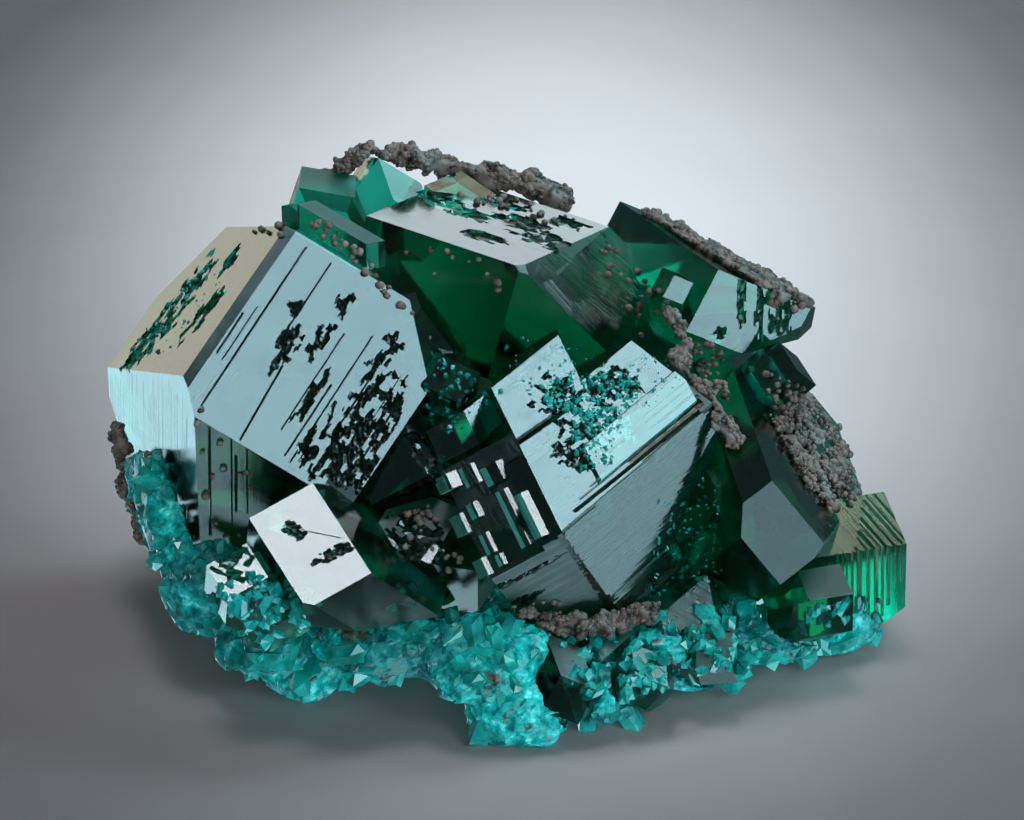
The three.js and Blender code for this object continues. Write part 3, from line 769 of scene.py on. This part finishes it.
def dioptase_material():
    """The clear green crystal."""
    nodes = Nodes("dioptase")
    place = nodes.place()
    across = nodes.attribute("across", "Vector")
    side = nodes.vectors("DOT_PRODUCT", place, across, output="Value")
    lines = nodes.add("ShaderNodeCombineXYZ", {"X": side}).outputs[0]
    drift = nodes.vectors("MULTIPLY", place, LINE_DRIFT)
    streaks = nodes.noise(nodes.vectors("ADD", lines, drift), LINE_FINENESS, 3.0, 0.6)
    line_bump = nodes.bump(streaks, LINE_HEIGHT, nodes.attribute("lines"))
    waves = nodes.noise(place, WAVE_FINENESS, 3.0, 0.6)
    normal = nodes.bump(waves, WAVE_HEIGHT, 0.6, line_bump)
    smudges = nodes.spread(nodes.noise(place, SMUDGE_FINENESS, 4.0, 0.6), 0.35, 0.75, *SMUDGE_ROUGHNESS)
    rough = nodes.maths("ADD", nodes.attribute("roughness"), smudges)
    nodes.finish(colour=DIOPTASE_COLOUR, ior=DIOPTASE_IOR, transmission=1, roughness=rough, normal=normal)
    inside = {"Color": DIOPTASE_LETS_THROUGH, "Density": DIOPTASE_DENSITY}
    absorb = nodes.add("ShaderNodeVolumeAbsorption", inside)
    nodes.tree.links.new(absorb.outputs["Volume"], nodes.tree.nodes["Material Output"].inputs["Volume"])
    return nodes.material


def piece_from_node(node, name):
    """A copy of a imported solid, which it stands in for."""
    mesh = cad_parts[node].data.copy()
    mesh.materials.clear()
    piece = as_object(name, mesh)
    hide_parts(node)
    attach(piece, "root")
    return piece


SAME_PLACE = 0.001 * MM  # corners nearer than this are one
FLAT_ANGLE = math.radians(0.5)  # faces that meet at less than this are one


def closed_flat(mesh):
    """Joins the corners that the import split, and makes each flat face one face again."""
    shape = bmesh.new()
    shape.from_mesh(mesh)
    bmesh.ops.remove_doubles(shape, verts=shape.verts, dist=SAME_PLACE)
    bmesh.ops.dissolve_limit(shape, angle_limit=FLAT_ANGLE, verts=shape.verts, edges=shape.edges)
    shape.to_mesh(mesh)
    shape.free()


CHAMFER = 0.035 * MM  # width of the worn edges of the crystals
CHAMFER_LEAST_ANGLE = math.radians(15)
CHAMFER_LEAST_LENGTH = 12 * CHAMFER


def chamfered(mesh):
    """Wears down the sharp outward edges a little, so that they catch the light."""
    shape = bmesh.new()
    shape.from_mesh(mesh)
    bmesh.ops.dissolve_limit(shape, angle_limit=FLAT_ANGLE, verts=shape.verts, edges=shape.edges)
    outward = [edge for edge in shape.edges if edge.is_manifold and edge.is_convex]
    long = [edge for edge in outward if edge.calc_length() > CHAMFER_LEAST_LENGTH]
    sharp = [edge for edge in long if edge.calc_face_angle() > CHAMFER_LEAST_ANGLE]
    bmesh.ops.bevel(shape, geom=sharp, offset=CHAMFER, segments=1, affect="EDGES", clamp_overlap=True)
    shape.to_mesh(mesh)
    shape.free()


def make_crystals():
    """The clear crystals, with their steps, worn edges, grooves and pits."""
    crystals = piece_from_node("dioptase_crystals", "crystals")
    closed_flat(crystals.data)
    combined(crystals, [plate(CENTRE_RIGHT, CENTRE_RIGHT_OUTLINE, CENTRE_RIGHT_THICKNESS)], "UNION")
    combined(crystals, [ledge(*step) for step in LEDGES], "UNION")
    chamfered(crystals.data)
    for parts in crystal_grooves() + [[part] for part in crystal_trenches()] + crystal_pits():
        combined(crystals, parts, "DIFFERENCE")
    crystals.data.materials.clear()
    crystals.data.materials.append(dioptase_material())
    crystals.data.shade_flat()
    finish_faces(crystals.data)


# Matrix
ROCK_GRAIN = 0.24 * MM  # size of the rock mesh's faces
FACET_SIZE = 0.9 * MM  # size of the small crystal faces that cover the rock
FACET_SLOPE = 0.55
FACET_RISE = 0.10 * MM
FACET_SEED = 3
TILT_STEP = 13.7  # from the noise of one facet's tilt to that of the next
RISE_STEP = 5.1  # from the noise of one facet's rise to that of the next
SWELL_SIZE = 2.2 * MM
SWELL_RISE = 0.25 * MM
noise.seed_set(FACET_SEED)  # Blender seeds its vector noise from the clock unless it is told a seed


def remeshed(piece, size):
    """Gives a piece an even mesh of small faces."""
    change = piece.modifiers.new("remesh", "REMESH")
    change.mode = "VOXEL"
    change.voxel_size = size
    depsgraph = bpy.context.evaluated_depsgraph_get()
    result = bpy.data.meshes.new_from_object(piece.evaluated_get(depsgraph))
    piece.modifiers.clear()
    piece.data = result


def displaced(mesh, height):
    """Moves every corner of a mesh out along its normal, but never below the table."""
    places = [vertex.co.copy() for vertex in mesh.vertices]
    normals = [vertex.normal.copy() for vertex in mesh.vertices]
    for vertex, place, normal in zip(mesh.vertices, places, normals):
        moved = place + normal * height(place)
        moved.z = max(moved.z, 0.0)
        vertex.co = moved


def facet_height(point):
    """How far a point of the rock rises: it is covered by small tilted crystal faces, over slow swells."""
    distances, cells = noise.voronoi(point / FACET_SIZE)
    cell = cells[0]
    tilt = noise.noise_vector(cell * TILT_STEP)
    offset = point - cell * FACET_SIZE
    swell = noise.noise(point / SWELL_SIZE) * SWELL_RISE
    return swell + FACET_RISE * noise.noise(cell * RISE_STEP) + FACET_SLOPE * offset.dot(tilt)


ROCK_DARK_GREEN = (0.0, 0.14, 0.14)
ROCK_GREEN = (0.0, 0.60, 0.58)
ROCK_BRIGHT = (0.20, 0.95, 0.90)
ROCK_SHADE = (0.0, 0.06, 0.06)
ROCK_DARK_BROWN = (0.035, 0.022, 0.016)
ROCK_BROWN = (0.14, 0.10, 0.07)


def rock_material():
    """The blue-green crust of the rock, with brown patches."""
    nodes = Nodes("rock")
    place = nodes.place()
    patches = nodes.noise(place, 420, 4.0, 0.6, 0.4)
    fine = nodes.noise(place, 1600, 5.0, 0.65)
    green = nodes.mix(nodes.spread(fine, 0.35, 0.62), ROCK_DARK_GREEN, ROCK_GREEN)
    bright = nodes.mix(nodes.spread(fine, 0.56, 0.68), green, ROCK_BRIGHT)
    brown = nodes.mix(nodes.spread(fine, 0.4, 0.6), ROCK_DARK_BROWN, ROCK_BROWN)
    slow = nodes.noise(place, 260, 3.0, 0.55)
    shaded = nodes.mix(nodes.spread(slow, 0.42, 0.56), nodes.mix(0.7, bright, ROCK_SHADE), bright)
    colour = nodes.mix(nodes.spread(patches, 0.60, 0.65), shaded, brown)
    roughness = nodes.spread(fine, 0.3, 0.7, 0.12, 0.5)
    nodes.finish(colour=colour, roughness=roughness, normal=nodes.bump(fine, 0.05 * MM, 0.6))
    return nodes.material


def make_rock():
    """The rock under the crystals."""
    rock = piece_from_node("matrix", "rock")
    remeshed(rock, ROCK_GRAIN)
    displaced(rock.data, facet_height)
    rock.data.materials.clear()
    rock.data.materials.append(rock_material())
    rock.data.shade_flat()
    rock.visible_glossy = False  # so that the faces behind it keep their shine
    return rock


# Druse
DRUSE_DARK = (0.028, 0.019, 0.016)
DRUSE_BROWN = (0.22, 0.165, 0.145)
DRUSE_GREY = (0.20, 0.20, 0.19)


def druse_material():
    """The brown-grey crust."""
    nodes = Nodes("druse")
    place = nodes.place()
    fine = nodes.noise(place, 1500, 4.0, 0.6)
    patches = nodes.noise(place, 500, 3.0, 0.6)
    brown = nodes.mix(nodes.spread(fine, 0.38, 0.62), DRUSE_DARK, DRUSE_BROWN)
    grey = nodes.mix(nodes.spread(patches, 0.55, 0.68), brown, DRUSE_GREY)
    roughness = nodes.spread(fine, 0.3, 0.7, 0.3, 0.65)
    nodes.finish(colour=grey, roughness=roughness, normal=nodes.bump(fine, 0.03 * MM, 0.5))
    return nodes.material


LUMP_SIZE = 0.6 * MM
LUMP_RISE = 0.3 * MM
LUMP_SETTLING = 0.08 * MM  # how far a crust's bed lies below its solid, so that its balls stand out


def lump_height(point):
    """How far a point of a crust's bed rises."""
    return LUMP_RISE * noise.noise(point / LUMP_SIZE) - LUMP_SETTLING


def ball_parts():
    """The corners and faces of a plain ball."""
    shape = bmesh.new()
    bmesh.ops.create_icosphere(shape, subdivisions=2, radius=1.0)
    corners = [vertex.co.copy() for vertex in shape.verts]
    faces = [tuple(vertex.index for vertex in face.verts) for face in shape.faces]
    shape.free()
    return corners, faces


BALL = ball_parts()


def turned_any_way(draw):
    """A random turn about the upright axis, after one about a level axis."""
    upright = Matrix.Rotation(draw.uniform(0, math.tau), 3, "Z")
    return upright @ Matrix.Rotation(draw.uniform(0, math.tau), 3, "X")


BALL_LUMPINESS = 0.22  # of its radius
BALL_LUMPS = 1.7  # per radius


def ball(middle, radius, draw):
    """A small lumpy ball, a little flattened."""
    shift = Vector([draw.uniform(-50, 50) for _ in range(3)])
    turn = turned_any_way(draw)
    squeeze = Vector((1.0, draw.uniform(0.75, 1.0), draw.uniform(0.65, 0.95)))
    corners = []
    for corner in BALL[0]:
        lumpy = corner * (1 + BALL_LUMPINESS * noise.noise(corner * BALL_LUMPS + shift))
        corners.append(middle + turn @ (lumpy * squeeze) * radius)
    return corners, BALL[1]


def scattered(mesh, count, draw):
    """Random points on a mesh, evenly over its area, each with its face's normal."""
    mesh.calc_loop_triangles()
    triangles = mesh.loop_triangles
    running = np.cumsum([triangle.area for triangle in triangles])
    for _ in range(count):
        triangle = triangles[int(np.searchsorted(running, draw.random() * running[-1]))]
        a, b, c = (mesh.vertices[i].co for i in triangle.vertices)
        s, t = sorted((draw.random(), draw.random()))
        yield a * s + b * (t - s) + c * (1 - t), triangle.normal.copy()


class Crust:
    """How a crust is dressed: its balls, the share of its thickness that is kept, whether it has a bed."""

    def __init__(self, balls, thickness, bed=True):
        self.balls, self.thickness, self.bed = balls, thickness, bed


CRUSTS = {
    "druse_right_top": Crust(1000, 0.45),
    "druse_right_middle": Crust(1300, 0.30, bed=False),
    "druse_centre_edge": Crust(420, 0.45),
    "druse_front_band": Crust(500, 0.8),
    "druse_top_rear": Crust(900, 1.0),
    "druse_left_edge": Crust(400, 0.8),
}
CRUST_SEED = 900
CRUST_GRAIN = 0.2 * MM  # size of a bed's faces
CLUMP_SIZE = 1.1 * MM  # distance from one clump of balls to the next
BALL_RADIUS = (0.07, 0.30)  # mm, least and most


def thinned(mesh, share):
    """Draws a crust in towards the crystals it lies on."""
    for vertex in mesh.vertices:
        nearest = CRYSTAL_TREE.find_nearest(vertex.co)[0]
        vertex.co = nearest + (vertex.co - nearest) * share


def clumped(mesh, count, draw):
    """Balls over a mesh, large where they stand in a clump and few and small between the clumps."""
    balls = []
    for point, _ in scattered(mesh, count * 3, draw):
        thickness = noise.noise(point / CLUMP_SIZE) + 0.5 * noise.noise(point / (0.4 * CLUMP_SIZE))
        if len(balls) < count and thickness > draw.uniform(-0.55, 0.25):
            least, most = BALL_RADIUS
            radius = least + (most - least) * min(max(0.4 + thickness, 0.0), 1.0) * draw.uniform(0.45, 1.0)
            balls.append(ball(point, radius * MM, draw))
    return balls


def make_druse(material):
    """The crusts: a lumpy bed under balls."""
    for at, (node, crust) in enumerate(CRUSTS.items()):
        draw = random.Random(CRUST_SEED + at)
        piece = piece_from_node(node, node + "_balls")
        remeshed(piece, CRUST_GRAIN)
        thinned(piece.data, crust.thickness)
        displaced(piece.data, lump_height)
        corners = [vertex.co.copy() for vertex in piece.data.vertices]
        bed = (corners, [tuple(polygon.vertices) for polygon in piece.data.polygons])
        mesh = joined_mesh(node, [bed] * crust.bed + clumped(piece.data, crust.balls, draw))
        mesh.materials.append(material)
        mesh.shade_smooth()
        piece.data = mesh
        piece.visible_glossy = node != "druse_left_edge"  # it would darken the left crystal's side


# Single balls on the crystals: an area of the photograph, and how many lie in it
BALL_AREAS = [
    ([(765, 370), (800, 385), (850, 440), (872, 475), (850, 505), (800, 470), (770, 420)], 200),
    ([(300, 215), (330, 245), (365, 275), (400, 310), (425, 345), (432, 335), (372, 262), (310, 207)], 40),
    ([(585, 235), (640, 260), (690, 330), (640, 340)], 26),
    ([(380, 520), (440, 500), (470, 590), (400, 560)], 26),
    ([(690, 340), (720, 345), (735, 440), (700, 380)], 45),
    ([(500, 605), (560, 600), (560, 640), (500, 640)], 30),
    ([(420, 185), (560, 200), (590, 232), (540, 225), (430, 195)], 26),
    ([(400, 230), (500, 262), (500, 330), (420, 300)], 10),
    ([(195, 400), (250, 440), (240, 560), (200, 560)], 12),
    ([(240, 215), (290, 222), (280, 240), (240, 228)], 10),
]


def points_in_area(area, count, draw):
    """Places on the crystals that the photograph shows inside an area, each with its face's normal."""
    left, right = min(x for x, y in area), max(x for x, y in area)
    low, high = min(y for x, y in area), max(y for x, y in area)
    found = 0
    while found < count:
        spot = (draw.uniform(left, right), draw.uniform(low, high))
        if is_inside(*spot, area):
            found += 1
            place, normal, _, _ = CRYSTAL_TREE.ray_cast(CAMERA_PLACE, picture_ray(spot))
            if place is not None:
                yield place, normal


SCATTERED_SEED = 77
SCATTERED_RADIUS = (0.10, 0.24)  # mm, least and most
BALL_STANDS_OUT = 0.4  # of its radius


def make_scattered_balls(material):
    """Single balls that sit on the crystals."""
    draw = random.Random(SCATTERED_SEED)
    balls = []
    for area, count in BALL_AREAS:
        for place, normal in points_in_area(area, count, draw):
            radius = draw.uniform(*SCATTERED_RADIUS) * MM
            balls.append(ball(place + normal * radius * BALL_STANDS_OUT, radius, draw))
    mesh = joined_mesh("scattered_balls", balls)
    mesh.materials.append(material)
    mesh.shade_smooth()
    piece = as_object("scattered_balls", mesh)
    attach(piece, "root")


# Small crystals that cover the matrix
SMALL_SEED = 5
SMALL_SIDES = 6
SMALL_COUNT = 520
SMALL_SIZE = (0.22, 0.62)  # mm, half widths, least and most
SMALL_LENGTH = (0.9, 1.8)  # half lengths, as shares of the half width
SMALL_SLOPE = 0.45  # how far the end's corners go up and down, as a share of the half width
SMALL_TIP = 0.5  # how far its tip stands out, likewise
SMALL_SUNK = 0.6  # how deep it sits in the rock, likewise
CHIP_SUNK = (0.4, 1.6)  # how deep a chip sits in a crystal, likewise
LOWEST_SMALL = 0.8 * MM  # none on the rock stands lower than this
LEAST_FACING = -0.2  # nor where the rock turns away from the camera more than this
SMALL_DARK = (0.0, 0.16, 0.14)
SMALL_LIGHT = (0.01, 0.42, 0.38)


def small_crystal(middle, size, draw):
    """A short six-sided crystal with a sloping end, turned any way."""
    turn = turned_any_way(draw)
    length = size * draw.uniform(*SMALL_LENGTH)
    corners = []
    for end in (-1, 1):
        for side in range(SMALL_SIDES):
            angle = math.tau * side / SMALL_SIDES
            slope = SMALL_SLOPE * size * math.cos(angle * 3 + (0 if end > 0 else math.pi))
            corner = Vector((size * math.cos(angle), size * math.sin(angle), end * length + slope))
            corners.append(middle + turn @ corner)
    corners += [middle + turn @ Vector((0, 0, end * (length + SMALL_TIP * size))) for end in (-1, 1)]
    faces = []
    for side in range(SMALL_SIDES):
        after = (side + 1) % SMALL_SIDES
        faces.append((side, after, after + SMALL_SIDES, side + SMALL_SIDES))
        faces.append((after, side, 2 * SMALL_SIDES))
        faces.append((side + SMALL_SIDES, after + SMALL_SIDES, 2 * SMALL_SIDES + 1))
    return corners, faces


# Chips in the pits and small crystals at the foot: an area of the photograph, how many, half widths in mm
CHIP_AREAS = [
    ([(545, 371), (636, 371), (640, 404), (600, 420), (545, 404)], 220, (0.04, 0.11)),
    ([(573, 408), (625, 405), (614, 465), (573, 470)], 150, (0.04, 0.11)),
    ([(126, 350), (200, 268), (226, 280), (160, 362)], 90, (0.04, 0.10)),
    ([(640, 350), (690, 370), (640, 420), (610, 400)], 60, (0.03, 0.08)),
    ([(430, 350), (500, 390), (470, 440), (420, 420)], 60, (0.05, 0.14)),
    ([(655, 500), (720, 470), (722, 590), (649, 600)], 120, (0.04, 0.09)),
    ([(500, 340), (570, 335), (600, 365), (520, 400)], 50, (0.04, 0.09)),
    ([(556, 625), (740, 610), (742, 660), (620, 705), (575, 690)], 150, (0.12, 0.42)),
    ([(210, 590), (270, 570), (320, 640), (240, 690)], 90, (0.10, 0.38)),
    ([(800, 610), (880, 600), (890, 650), (790, 660)], 50, (0.10, 0.30)),
]


def small_crystal_material():
    """The cloudy small crystals."""
    nodes = Nodes("small_dioptase")
    place = nodes.place()
    cloud = nodes.noise(place, 900, 3.0, 0.6)
    colour = nodes.mix(nodes.spread(cloud, 0.35, 0.65), SMALL_DARK, SMALL_LIGHT)
    nodes.finish(colour=colour, roughness=nodes.spread(cloud, 0.3, 0.7, 0.08, 0.3), ior=DIOPTASE_IOR)
    return nodes.material


def make_small_crystals(rock):
    """The small crystals on the rock, and the chips."""
    draw = random.Random(SMALL_SEED)
    parts = []
    for place, normal in scattered(rock.data, SMALL_COUNT * 3, draw):
        faces_viewer = normal.dot(TOWARDS_CAMERA) > LEAST_FACING
        if faces_viewer and place.z > LOWEST_SMALL and len(parts) < SMALL_COUNT:
            size = draw.uniform(*SMALL_SIZE) * MM
            parts.append(small_crystal(place - normal * size * SMALL_SUNK, size, draw))
    for area, count, sizes in CHIP_AREAS:
        for place, normal in points_in_area(area, count, draw):
            size = draw.uniform(*sizes) * MM
            parts.append(small_crystal(place - normal * size * draw.uniform(*CHIP_SUNK), size, draw))
    mesh = joined_mesh("small_crystals", parts)
    for corner in mesh.vertices:
        corner.co.z = max(corner.co.z, 0)  # none reaches through the surface it stands on
    mesh.materials.append(small_crystal_material())
    piece = as_object("small_crystals", mesh)
    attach(piece, "root")


# How often light may pass through faces or be mirrored by them
BOUNCES = 12
GLOSSY_BOUNCES = 8
TRANSMISSION_BOUNCES = 9

make_camera()
make_lights()
make_floor()
make_crystals()
make_small_crystals(make_rock())
druse = druse_material()
make_druse(druse)
make_scattered_balls(druse)

scene = bpy.context.scene
scene.view_settings.view_transform = "Standard"
scene.cycles.max_bounces = BOUNCES
scene.cycles.glossy_bounces = GLOSSY_BOUNCES
scene.cycles.transmission_bounces = TRANSMISSION_BOUNCES
